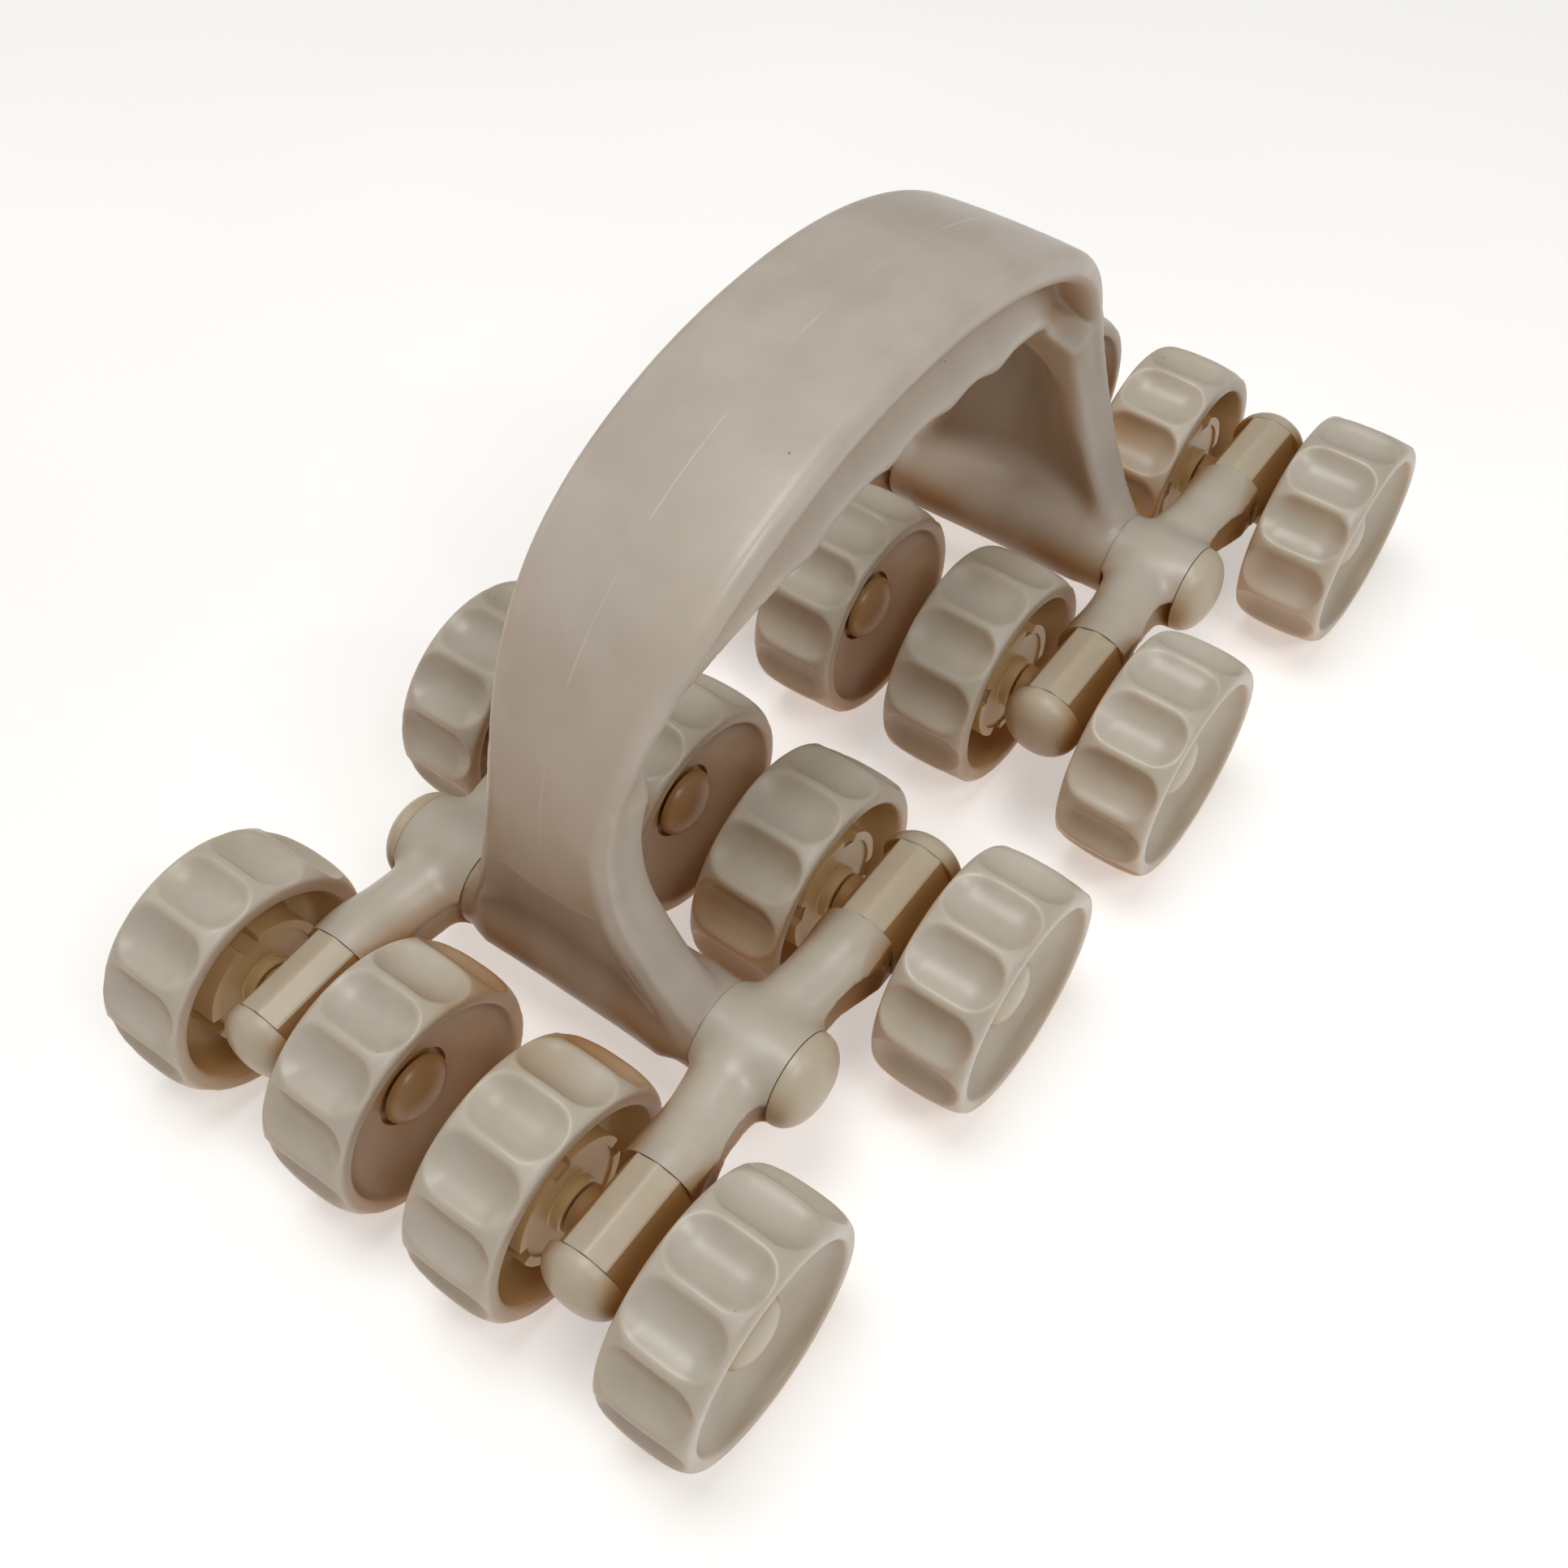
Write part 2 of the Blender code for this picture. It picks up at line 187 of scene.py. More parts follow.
def mesh_from(name, points, faces):
    mesh = bpy.data.meshes.new(name)
    mesh.from_pydata((np.asarray(points) * MM).tolist(), [], [list(face) for face in faces])
    mesh.validate()
    mesh.update()
    return mesh


def cut_flat(mesh, cuts):
    """Merge slivers, then trim a mesh with planes and close each cut with a flat face."""
    bm = bmesh.new()
    bm.from_mesh(mesh)
    bmesh.ops.remove_doubles(bm, verts=bm.verts, dist=SLIVER * MM)
    for point, normal in cuts:
        result = bmesh.ops.bisect_plane(
            bm, geom=bm.verts[:] + bm.edges[:] + bm.faces[:], dist=1e-7,
            plane_co=Vector(point) * MM, plane_no=Vector(normal), clear_outer=True)
        rim = [item for item in result["geom_cut"] if isinstance(item, bmesh.types.BMEdge)]
        bmesh.ops.triangle_fill(bm, use_beauty=True, use_dissolve=True, edges=rim)
    bmesh.ops.recalc_face_normals(bm, faces=bm.faces)
    bm.to_mesh(mesh)
    bm.free()


def mirrored(mesh, name, axis):
    """A copy of a mesh mirrored across a plane through the origin."""
    copy = mesh.copy()
    copy.name = name
    scale = [1.0, 1.0, 1.0]
    scale[axis] = -1.0
    copy.transform(Matrix.Diagonal((*scale, 1.0)))
    copy.flip_normals()
    return copy


def turned(outlines, steps, radius_at=None):
    """Spin outlines of (radius, height) points about Z into one mesh of closed shells."""
    points = []
    faces = []
    angles = np.arange(steps) * 2.0 * math.pi / steps
    for outline in outlines:
        rings = []
        for radius, height in outline:
            if radius == 0.0:
                rings.append([len(points)])
                points.append((0.0, 0.0, height))
                continue
            radii = radius_at(radius, height, angles) if radius_at else np.full(steps, radius)
            rings.append(list(range(len(points), len(points) + steps)))
            points.extend(zip(radii * np.cos(angles), radii * np.sin(angles), [height] * steps))
        pairs = list(zip(rings, rings[1:]))
        if len(rings[0]) > 1 and len(rings[-1]) > 1:
            pairs.append((rings[-1], rings[0]))
        for lower, upper in pairs:
            for step in range(steps):
                after = (step + 1) % steps
                if len(lower) == 1:
                    faces.append((lower[0], upper[step], upper[after]))
                elif len(upper) == 1:
                    faces.append((lower[step], lower[after], upper[0]))
                else:
                    faces.append((lower[step], lower[after], upper[after], upper[step]))
    return points, faces


def finish_mesh(mesh, materials, sharp_angle=38.0):
    """Turn the faces outward, give the mesh its materials and shade it smooth."""
    bm = bmesh.new()
    bm.from_mesh(mesh)
    bmesh.ops.recalc_face_normals(bm, faces=bm.faces)
    bm.to_mesh(mesh)
    bm.free()
    mesh.materials.clear()
    for material in materials:
        mesh.materials.append(material)
    mesh.shade_smooth()
    mesh.set_sharp_from_angle(angle=math.radians(sharp_angle))
    return mesh


def place(name, mesh, matrix, body, nodes):
    """Add a piece that rides on a body and stands for CAD nodes."""
    obj = bpy.data.objects.new(name, mesh)
    bpy.context.scene.collection.objects.link(obj)
    obj.matrix_world = matrix
    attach(obj, body)
    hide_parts(*nodes)
    return obj


def at(x, y, z, turn=None):
    """A placement in millimetres, after an optional turn."""
    matrix = Matrix.Translation(Vector((x, y, z)) * MM)
    return matrix @ turn if turn else matrix


# Materials

class Nodes:
    """Small helper for building a material's node tree."""

    def __init__(self, name):
        self.material = bpy.data.materials.new(name)
        self.material.use_nodes = True
        self.tree = self.material.node_tree
        self.shader = self.tree.nodes["Principled BSDF"]

    def add(self, kind, **settings):
        node = self.tree.nodes.new(kind)
        for key, value in settings.items():
            setattr(node, key, value)
        return node

    def link(self, source, target):
        self.tree.links.new(source, target)

    def noise(self, vector, scale, detail=3.0, roughness=0.5):
        node = self.add("ShaderNodeTexNoise")
        node.inputs["Scale"].default_value = scale
        node.inputs["Detail"].default_value = detail
        node.inputs["Roughness"].default_value = roughness
        self.link(vector, node.inputs["Vector"])
        return node.outputs["Fac"]

    def ramp(self, value, low, high, start=0.0, end=1.0):
        """Map a value from low..high to start..end and clamp it."""
        node = self.add("ShaderNodeMapRange", clamp=True, interpolation_type="SMOOTHSTEP")
        node.inputs["From Min"].default_value = low
        node.inputs["From Max"].default_value = high
        node.inputs["To Min"].default_value = start
        node.inputs["To Max"].default_value = end
        self.link(value, node.inputs["Value"])
        return node.outputs["Result"]

    def math(self, operation, first, second):
        node = self.add("ShaderNodeMath", operation=operation)
        for socket, value in zip(node.inputs, (first, second)):
            if isinstance(value, (int, float)):
                socket.default_value = value
            else:
                self.link(value, socket)
        return node.outputs["Value"]

    def mix(self, factor, first, second):
        node = self.add("ShaderNodeMix", data_type="RGBA")
        for name, value in (("Factor", factor), ("A", first), ("B", second)):
            socket = next(s for s in node.inputs if s.name == name and s.enabled)
            if isinstance(value, (tuple, float)):
                socket.default_value = value
            else:
                self.link(value, socket)
        return next(s for s in node.outputs if s.enabled)


# The side the light falls from; faces turned away from it get painted shade, browner and darker
LIT_SIDE = (0.35, -0.5, 0.79)

# Noise scales per metre, so 1000 gives features of about a millimetre
CLOUD_SCALE = 90.0
PATCH_SCALE = 38.0
SPECK_SCALE = 210.0
SPECK_SPREAD_SCALE = 130.0
WEAR_SCALE = 70.0
SMEAR_SCALE = 140.0
SKIN_SCALE = 1500.0
RIPPLE_SCALE = 260.0
SCRATCH_TURN = (0.4, 0.9, 0.3)
SCRATCH_STRETCH = (60.0, 1500.0, 1500.0)

PATCH_STRENGTH = 0.55
SPECK_STRENGTH = 0.6
SPECK_COLOUR = (0.10, 0.07, 0.045, 1.0)
SCRATCH_STRENGTH = 0.15
SCRATCH_COLOUR = (0.80, 0.77, 0.70, 1.0)
PARTING_COLOUR = (0.85, 0.80, 0.70, 1.0)
PARTING_STRENGTH = 0.4
# Painted shade: reach and range of the occlusion darkening, then range and strength of the
# darkening on faces turned from the light
HOLLOW_SHADE_REACH = 28.0 * MM
HOLLOW_SHADE_RANGE = (0.08, 0.92)
SIDE_SHADE_RANGE = (-0.7, 0.6)
SIDE_SHADE_STRENGTH = 0.6
ROUGHNESS_RANGE = (0.30, 0.42)
BUMP_DEPTH = 0.12 * MM
BUMP_STRENGTH = 0.35
GLOW_WEIGHT = 0.35
GLOW_RADIUS = (1.0, 0.5, 0.22)
GLOW_DEPTH = 3.0 * MM


def scratches(make, place_in):
    """Sparse short straight scratches, as a mask."""
    mapping = make.add("ShaderNodeMapping")
    mapping.inputs["Rotation"].default_value = SCRATCH_TURN
    mapping.inputs["Scale"].default_value = SCRATCH_STRETCH
    make.link(place_in, mapping.inputs["Vector"])
    line = make.ramp(make.noise(mapping.outputs["Vector"], 1.0, 1.0), 0.735, 0.78)
    worn = make.ramp(make.noise(place_in, WEAR_SCALE, 2.0), 0.5, 0.62)
    return make.math("MULTIPLY", line, worn)


def specks(make, place_in):
    """Rare small dark specks, as a mask."""
    cells = make.add("ShaderNodeTexVoronoi")
    cells.inputs["Scale"].default_value = SPECK_SCALE
    make.link(place_in, cells.inputs["Vector"])
    spot = make.ramp(cells.outputs["Distance"], 0.025, 0.05, 1.0, 0.0)
    rare = make.ramp(make.noise(place_in, SPECK_SPREAD_SCALE, 1.0), 0.60, 0.63)
    return make.math("MULTIPLY", spot, rare)


def painted_shade(make):
    """How much painted shade a point gets: tucked into a hollow or near other parts and the
    floor, or facing away from the lit side.
    """
    occlusion = make.add("ShaderNodeAmbientOcclusion", samples=8)
    occlusion.inputs["Distance"].default_value = HOLLOW_SHADE_REACH
    hollow_shade = make.ramp(occlusion.outputs["AO"], *HOLLOW_SHADE_RANGE, 1.0, 0.0)
    # Painted shade on faces turned away from the light's direction
    facing = make.add("ShaderNodeVectorMath", operation="DOT_PRODUCT")
    make.link(make.add("ShaderNodeNewGeometry").outputs["Normal"], facing.inputs[0])
    facing.inputs[1].default_value = LIT_SIDE
    side_shade = make.ramp(
        facing.outputs["Value"], *SIDE_SHADE_RANGE, SIDE_SHADE_STRENGTH, 0.0)
    return make.math("MAXIMUM", hollow_shade, side_shade)


def plastic(name, light, dark, warm, shade, extra=None):
    """Moulded plastic: soft mottling, yellowed patches, specks, scratches, fine bump, and
    painted shade in hollows and on sides turned from the light.
    """
    make = Nodes(name)
    place_in = make.add("ShaderNodeTexCoord").outputs["Object"]
    cloud = make.ramp(make.noise(place_in, CLOUD_SCALE, 4.0), 0.35, 0.68)
    patch = make.ramp(make.noise(place_in, PATCH_SCALE, 2.0), 0.5, 0.72)
    colour = make.mix(cloud, light, dark)
    colour = make.mix(make.math("MULTIPLY", patch, PATCH_STRENGTH), colour, warm)
    speck = specks(make, place_in)
    colour = make.mix(make.math("MULTIPLY", speck, SPECK_STRENGTH), colour, SPECK_COLOUR)
    scratch = make.math("MULTIPLY", scratches(make, place_in), SCRATCH_STRENGTH)
    colour = make.mix(scratch, colour, SCRATCH_COLOUR)
    if extra:
        colour = extra(make, place_in, colour)
    # Painted shade: the colour goes towards the shade colour in hollows, near other parts and
    # on faces turned from the light
    make.link(make.mix(painted_shade(make), colour, shade), make.shader.inputs["Base Color"])

    smear = make.noise(place_in, SMEAR_SCALE, 5.0, 0.6)
    make.link(
        make.ramp(smear, 0.3, 0.72, *ROUGHNESS_RANGE), make.shader.inputs["Roughness"])

    skin = make.math("MULTIPLY", make.noise(place_in, SKIN_SCALE, 2.0), 0.06)
    ripple = make.math("MULTIPLY", make.noise(place_in, RIPPLE_SCALE, 3.0), 0.5)
    pit = make.math("MULTIPLY", speck, 0.5)
    bump = make.add("ShaderNodeBump")
    bump.inputs["Strength"].default_value = BUMP_STRENGTH
    bump.inputs["Distance"].default_value = BUMP_DEPTH
    make.link(
        make.math("SUBTRACT", make.math("ADD", skin, ripple), pit), bump.inputs["Height"])
    make.link(bump.outputs["Normal"], make.shader.inputs["Normal"])

    make.shader.inputs["IOR"].default_value = 1.5
    make.shader.inputs["Specular IOR Level"].default_value = 0.5
    make.shader.inputs["Subsurface Weight"].default_value = GLOW_WEIGHT
    make.shader.inputs["Subsurface Radius"].default_value = GLOW_RADIUS
    make.shader.inputs["Subsurface Scale"].default_value = GLOW_DEPTH
    make.material.diffuse_color = light
    return make.material


def parting_line(make, place_in, colour):
    """A faint pale moulding line along the middle of the handle."""
    split = make.add("ShaderNodeSeparateXYZ")
    make.link(place_in, split.inputs["Vector"])
    off = make.math("ABSOLUTE", split.outputs["Y"], 0.0)
    line = make.ramp(off, 0.05 * MM, 0.16 * MM, 1.0, 0.0)
    broken = make.ramp(
        make.noise(place_in, WEAR_SCALE, 2.0), 0.45, 0.62, 0.0, PARTING_STRENGTH)
    high = make.ramp(split.outputs["Z"], 50.0 * MM, 70.0 * MM)
    line = make.math("MULTIPLY", make.math("MULTIPLY", line, broken), high)
    return make.mix(line, colour, PARTING_COLOUR)


# Linear colours: light and dark mottling, yellowed patches, and the painted shade in hollows
# and on sides turned from the light
HANDLE_LIGHT = (0.55, 0.492, 0.43, 1.0)
HANDLE_DARK = (0.50, 0.443, 0.382, 1.0)
HANDLE_WARM = (0.54, 0.465, 0.375, 1.0)
IVORY_LIGHT = (0.585, 0.54, 0.458, 1.0)
IVORY_DARK = (0.52, 0.475, 0.395, 1.0)
IVORY_WARM = (0.56, 0.49, 0.375, 1.0)
CREAM_LIGHT = (0.60, 0.53, 0.41, 1.0)
CREAM_DARK = (0.55, 0.475, 0.355, 1.0)
CREAM_WARM = (0.58, 0.47, 0.315, 1.0)
TAN_LIGHT = (0.68, 0.56, 0.38, 1.0)
TAN_DARK = (0.62, 0.49, 0.31, 1.0)
TAN_WARM = (0.63, 0.47, 0.27, 1.0)
SHADE_BROWN = (0.42, 0.205, 0.052, 1.0)
SHADE_TAN = (0.56, 0.37, 0.16, 1.0)

ivory = plastic("ivory_moulding", IVORY_LIGHT, IVORY_DARK, IVORY_WARM, SHADE_BROWN)
handle_ivory = plastic(
    "ivory_handle", HANDLE_LIGHT, HANDLE_DARK, HANDLE_WARM, SHADE_BROWN, parting_line)
cream = plastic("cream_moulding", CREAM_LIGHT, CREAM_DARK, CREAM_WARM, SHADE_BROWN)
# The tan is the pins' plastic; on the wheels it is painted shade inside the inner hollow
tan = plastic("tan_pins_and_hollow_shade", TAN_LIGHT, TAN_DARK, TAN_WARM, SHADE_TAN)


# Handle, in millimetres; each zone is the (start, end) over which a feature sets in

HANDLE_TOP = 100.4
HALF_SPAN = 62.9
SHOULDER_Z = 47.0
FOOT_X = BAR_X + 6.3
ARCH_ROUNDNESS = 0.93
PAST_APEX = 0.15
ARCH_STEPS = 500
LEG_STEPS = 160

CROWN_ZONE = (52.0, 82.0)
LEG_THICKNESS = 9.4
CROWN_THICKENING = 7.0
CROWN_THICKENING_POWER = 2.2
SHOULDER_THICKENING = 1.3
WAIST_HALF_WIDTH = 9.4
CROWN_WIDENING = 4.9
WIDENING_ZONE = (58.0, 98.0)
CROWN_BULGE = 0.8
BULGE_FADE_ZONE = (86.0, 100.0)
CROWN_ARCH = 0.7

FLARE_SLOPE = 0.9
FLARE_CURVE = 0.12
FLARE_BLEND = 3.0
FLARE_ZONE = (-2.0, 2.0)

BAND_HALF_THICKNESS = 2.3
BAND_EDGE_RADIUS = 2.2
BAND_BLEND = 0.8
GROOVE_ZONE = (66.0, 75.0)
GROOVE_SETBACK = 1.8
VALLEY_SETBACK = 4.4
VALLEY_DEPTHS = (5.0, 16.0)
GRIP_EDGE_BLEND = 3.4
GRIP_START = 1.5

FINGER_RIDGES = (-24.5, -2.6, 14.0, 28.6)
FINGER_RIDGE_WIDTH = 3.9
FINGER_RIDGE_HEIGHT = 1.1
FINGER_ZONE = (66.0, 82.0)

FAN_DEPTH = 4.4
FAN_ZONE = (55.0, 67.0)
FAN_APEX_Z = 65.5
FAN_TAPER = 10.0
FAN_BLEND = 1.3
FAN_RIM = 2.3
FAN_RIM_WIDENING = 1.4
FAN_RIM_ZONE = (38.0, 50.0)

OUTER_RECESS = 1.8
RECESS_RIM = 2.4
RECESS_BLEND = 0.9
TONGUE_Z = 48.6
TONGUE_SAG = 2.0
TONGUE_HALF_WIDTH = 9.0
TONGUE_STEP = 2.6

LEG_BOTTOM_Z = 24.5
BAR_FILLET = 5.2
BAR_END_FILLET = 0.3
BAR_FILLET_FADE = (0.0, 6.0)
BAR_SPARE = 1.5

HANDLE_BOX = ((-66.0, -24.0, 15.5), (66.0, 24.0, 102.5))
HANDLE_CELL = 0.6
LOOKUP_STEP = 0.5
LOOKUP_LOW = (-76.0, 8.0)
LOOKUP_HIGH = (2.0, 110.0)


def outer_line():
    """The handle's outer line in the XZ plane, from below the foot at -X up to the apex."""
    turn = np.linspace(0.0, QUARTER + PAST_APEX, ARCH_STEPS)
    x = -HALF_SPAN * np.sign(np.cos(turn)) * np.abs(np.cos(turn)) ** ARCH_ROUNDNESS
    z = SHOULDER_Z + (HANDLE_TOP - SHOULDER_Z) * np.sin(turn) ** ARCH_ROUNDNESS
    leg_z = np.linspace(0.0, SHOULDER_Z, LEG_STEPS)[:-1]
    lean = (HALF_SPAN - FOOT_X) / (SHOULDER_Z - ARM_HEIGHT)
    leg_x = -HALF_SPAN + (SHOULDER_Z - leg_z) * lean
    return np.concatenate([leg_x, x]), np.concatenate([leg_z, z])


def arch_tables():
    """Depth behind the outer line, and the nearest line point's x and z, on a lookup grid."""
    line_x, line_z = outer_line()
    xs = np.arange(LOOKUP_LOW[0], LOOKUP_HIGH[0] + LOOKUP_STEP, LOOKUP_STEP)
    zs = np.arange(LOOKUP_LOW[1], LOOKUP_HIGH[1] + LOOKUP_STEP, LOOKUP_STEP)
    grid_x, grid_z = np.meshgrid(xs, zs, indexing="ij")
    tangent_x = np.gradient(line_x)
    tangent_z = np.gradient(line_z)
    length = np.hypot(tangent_x, tangent_z)
    tangent_x, tangent_z = tangent_x / length, tangent_z / length
    depth = np.empty_like(grid_x)
    near_x = np.empty_like(grid_x)
    near_z = np.empty_like(grid_x)
    for row in range(len(xs)):
        dx = grid_x[row][:, None] - line_x
        dz = grid_z[row][:, None] - line_z
        best = (dx * dx + dz * dz).argmin(axis=1)
        pick = np.arange(len(zs))
        along = dx[pick, best] * tangent_x[best] + dz[pick, best] * tangent_z[best]
        depth[row] = dx[pick, best] * tangent_z[best] - dz[pick, best] * tangent_x[best]
        near_x[row] = line_x[best] + along * tangent_x[best]
        near_z[row] = line_z[best] + along * tangent_z[best]
    return depth, near_x, near_z


def look_up(table, x, z):
    """Bilinear value of a lookup table at points of the -X half."""
    u = np.clip((x - LOOKUP_LOW[0]) / LOOKUP_STEP, 0.0, table.shape[0] - 1.001)
    v = np.clip((z - LOOKUP_LOW[1]) / LOOKUP_STEP, 0.0, table.shape[1] - 1.001)
    i = u.astype(int)
    j = v.astype(int)
    u = u - i
    v = v - j
    lower = table[i, j] * (1.0 - u) + table[i + 1, j] * u
    upper = table[i, j + 1] * (1.0 - u) + table[i + 1, j + 1] * u
    return lower * (1.0 - v) + upper * v


def foot_reach(radius):
    """Half width across Y of the foot at a distance from the bar's axis: a trumpet shape."""
    spread = np.clip(radius - BAR_RADIUS, 0.0, None)
    root = np.sqrt(FLARE_SLOPE ** 2 + 4.0 * FLARE_CURVE * spread)
    return BAR_END - (root - FLARE_SLOPE) / (2.0 * FLARE_CURVE), 1.0 / root


def finger_waves(line_x, height):
    """Low ridges across the grip between the fingers."""
    ridges = np.zeros_like(line_x)
    for ridge in FINGER_RIDGES:
        ridges += np.exp(-((line_x - ridge) / FINGER_RIDGE_WIDTH) ** 2)
    return FINGER_RIDGE_HEIGHT * ridges * rising(height, FINGER_ZONE)


def band_and_grip(y, depth, thick, half, height):
    """The palm band, and below it the grip, set back to leave the side grooves."""
    groove = rising(height, GROOVE_ZONE)
    arched = depth - CROWN_ARCH * (y / half) ** 2 * rising(height, CROWN_ZONE)
    band = rounded_box(
        arched - BAND_HALF_THICKNESS, y, BAND_HALF_THICKNESS, half, BAND_EDGE_RADIUS)
    valley = 1.0 - rising(depth, VALLEY_DEPTHS)
    grip_half = half - groove * (GROOVE_SETBACK + VALLEY_SETBACK * valley)
    grip = blend_max(y - grip_half, depth - thick, GRIP_EDGE_BLEND)
    grip = np.maximum(grip, GRIP_START - depth)
    return blend_min(band, grip, BAND_BLEND)


def fan_bowl(y, half, height):
    """How far the hollow fan sinks into the inner face of a leg."""
    rim = FAN_RIM + FAN_RIM_WIDENING * rising(height, FAN_RIM_ZONE)
    taper = np.sqrt(np.clip((FAN_APEX_Z - height) / FAN_TAPER, 0.002, 1.0))
    bowl = np.clip(1.0 - (y / ((half - rim) * taper)) ** 2, -1.0, 1.0)
    return FAN_DEPTH * (1.0 - rising(height, FAN_ZONE)) * bowl


def outer_recess(y, half, height):
    """How far the outer face of a leg steps in below the band's tongue-shaped end."""
    tongue = smooth_step(
        (TONGUE_Z + TONGUE_SAG * (y / TONGUE_HALF_WIDTH) ** 2 - height) / TONGUE_STEP)
    tray = np.clip(1.0 - (y / (half - RECESS_RIM)) ** 4, -1.0, 1.0)
    return OUTER_RECESS * tongue * tray


def handle_field(points):
    """The arched handle with its feet and the two bars that they end in."""
    x = -np.abs(points[:, 0])
    y = np.abs(points[:, 1])
    z = points[:, 2]
    depth = look_up(ARCH_DEPTH, x, z)
    line_x = np.copysign(look_up(ARCH_X, x, z), points[:, 0])
    height = look_up(ARCH_Z, x, z)

    crown = rising(height, CROWN_ZONE)
    depth = depth + CROWN_BULGE * crown * (1.0 - rising(height, BULGE_FADE_ZONE))
    rise = np.clip((height - CROWN_ZONE[0]) / (HANDLE_TOP - CROWN_ZONE[0]), 0.0, 1.0)
    thick = LEG_THICKNESS + CROWN_THICKENING * rise ** CROWN_THICKENING_POWER
    thick = thick + SHOULDER_THICKENING * crown + finger_waves(line_x, height)

    bar_distance = np.hypot(x + BAR_X, z - ARM_HEIGHT)
    reach, reach_slope = foot_reach(bar_distance)
    waist = WAIST_HALF_WIDTH + CROWN_WIDENING * rising(height, WIDENING_ZONE)
    half = -blend_min(-waist, -reach, FLARE_BLEND)
    flare_slope = np.hypot(1.0, reach_slope * rising(reach - waist, FLARE_ZONE))

    body = band_and_grip(y, depth, thick, half, height)
    body = blend_max(body, depth - thick + fan_bowl(y, half, height), FAN_BLEND)
    body = blend_max(body, outer_recess(y, half, height) - depth, RECESS_BLEND)
    body = np.maximum(body, LEG_BOTTOM_Z - z)

    bar = np.maximum(bar_distance - BAR_RADIUS, y - BAR_END - BAR_SPARE)
    fillet = BAR_END_FILLET + BAR_FILLET * rising(BAR_END - y, BAR_FILLET_FADE)
    return blend_min(body / flare_slope, bar, fillet)


def make_handle():
    cell = HANDLE_CELL
    points, quads = surface(handle_field, *HANDLE_BOX, cell)
    mesh = mesh_from("handle_moulding", points, quads)
    cut_flat(mesh, [((0, BAR_END, 0), (0, 1, 0)), ((0, -BAR_END, 0), (0, -1, 0))])
    finish_mesh(mesh, [handle_ivory], sharp_angle=50.0)
    place("handle_moulding", mesh, Matrix.Identity(4), "frame", ["handle"])


# Yokes, sleeves and caps

YOKE_CELL = 0.45
NECK_RADIUS = 5.9
NECK_GROWTH = 0.7
NECK_ZONE = (12.0, 20.5)
NECK_LEAN = -1.6
LEAN_FADE_ZONE = (5.0, 19.0)
HUB_BLEND = 2.2
SCOOP_X = 12.8
SCOOP_DROP = 1.0
SCOOP_RADIUS = 5.2
SCOOP_STRETCH = 1.75
OUTER_SCOOP_REACH = 7.0
INNER_SCOOP_REACH = 10.2
SCOOP_EDGE = 0.3
ARM_STEEPNESS = 0.95
SCOOP_STEEPNESS = 0.9

SLEEVE_BOX = ((-9.0, -9.5, -10.0), (9.0, 9.5, 8.0))
SLEEVE_CELL = 0.34
SIDE_FLAT_TILT = math.radians(66.0)
SIDE_FLAT_REACH = 5.45
LOW_FLAT_REACH = 5.75
TOP_FLAT_TILT = math.radians(17.0)
TOP_FLAT_REACH = 6.35
FLAT_EDGE = 0.12
LOW_FLAT_EDGE = 0.5
TOP_FLAT_EDGE = 0.1
BOSS_RADIUS = 3.9
BOSS_REACH = 8.2
BOSS_BLEND = 0.8

HUB_CAP_RADIUS = 7.27
HUB_CAP_RISE = 4.5
HUB_CAP_POWER = 2.2
ARM_CAP_RADIUS = 6.5
ARM_CAP_RISE = 4.7
ARM_CAP_POWER = 2.3
CAP_STEPS = 48
CAP_EDGE = 0.12


def yoke_field(points):
    """Hub along Y and arms along X, with the origin on the bar's axis at the arms' plane."""
    x = np.abs(points[:, 0])
    y = points[:, 1]
    z = points[:, 2]
    neck = NECK_RADIUS + NECK_GROWTH * rising(x, NECK_ZONE)
    lean = NECK_LEAN * (1.0 - rising(x, LEAN_FADE_ZONE))
    arm = (np.hypot(y - lean, z) - neck) * ARM_STEEPNESS
    hub = np.hypot(points[:, 0], z) - HUB_RADIUS
    body = blend_min(arm, hub, HUB_BLEND)
    for side, reach in ((1.0, OUTER_SCOOP_REACH), (-1.0, INNER_SCOOP_REACH)):
        along = (x - SCOOP_X) / SCOOP_STRETCH
        scoop = np.hypot(along, np.hypot(side * y - reach, z + SCOOP_DROP)) - SCOOP_RADIUS
        body = blend_max(body, -scoop * SCOOP_STEEPNESS, SCOOP_EDGE)
    return body


def make_yoke_mesh():
    inner = HUB_START - ARM_Y
    outer = HUB_END - ARM_Y
    low = (-25.0, inner - 1.5, -9.0)
    high = (25.0, outer + 1.5, 9.5)
    points, quads = surface(yoke_field, low, high, YOKE_CELL)
    mesh = mesh_from("yoke_moulding", points, quads)
    cut_flat(mesh, [
        ((ARM_END, 0, 0), (1, 0, 0)),
        ((-ARM_END, 0, 0), (-1, 0, 0)),
        ((0, outer, 0), (0, 1, 0)),
        ((0, inner, 0), (0, -1, 0)),
    ])
    return finish_mesh(mesh, [ivory], sharp_angle=50.0)


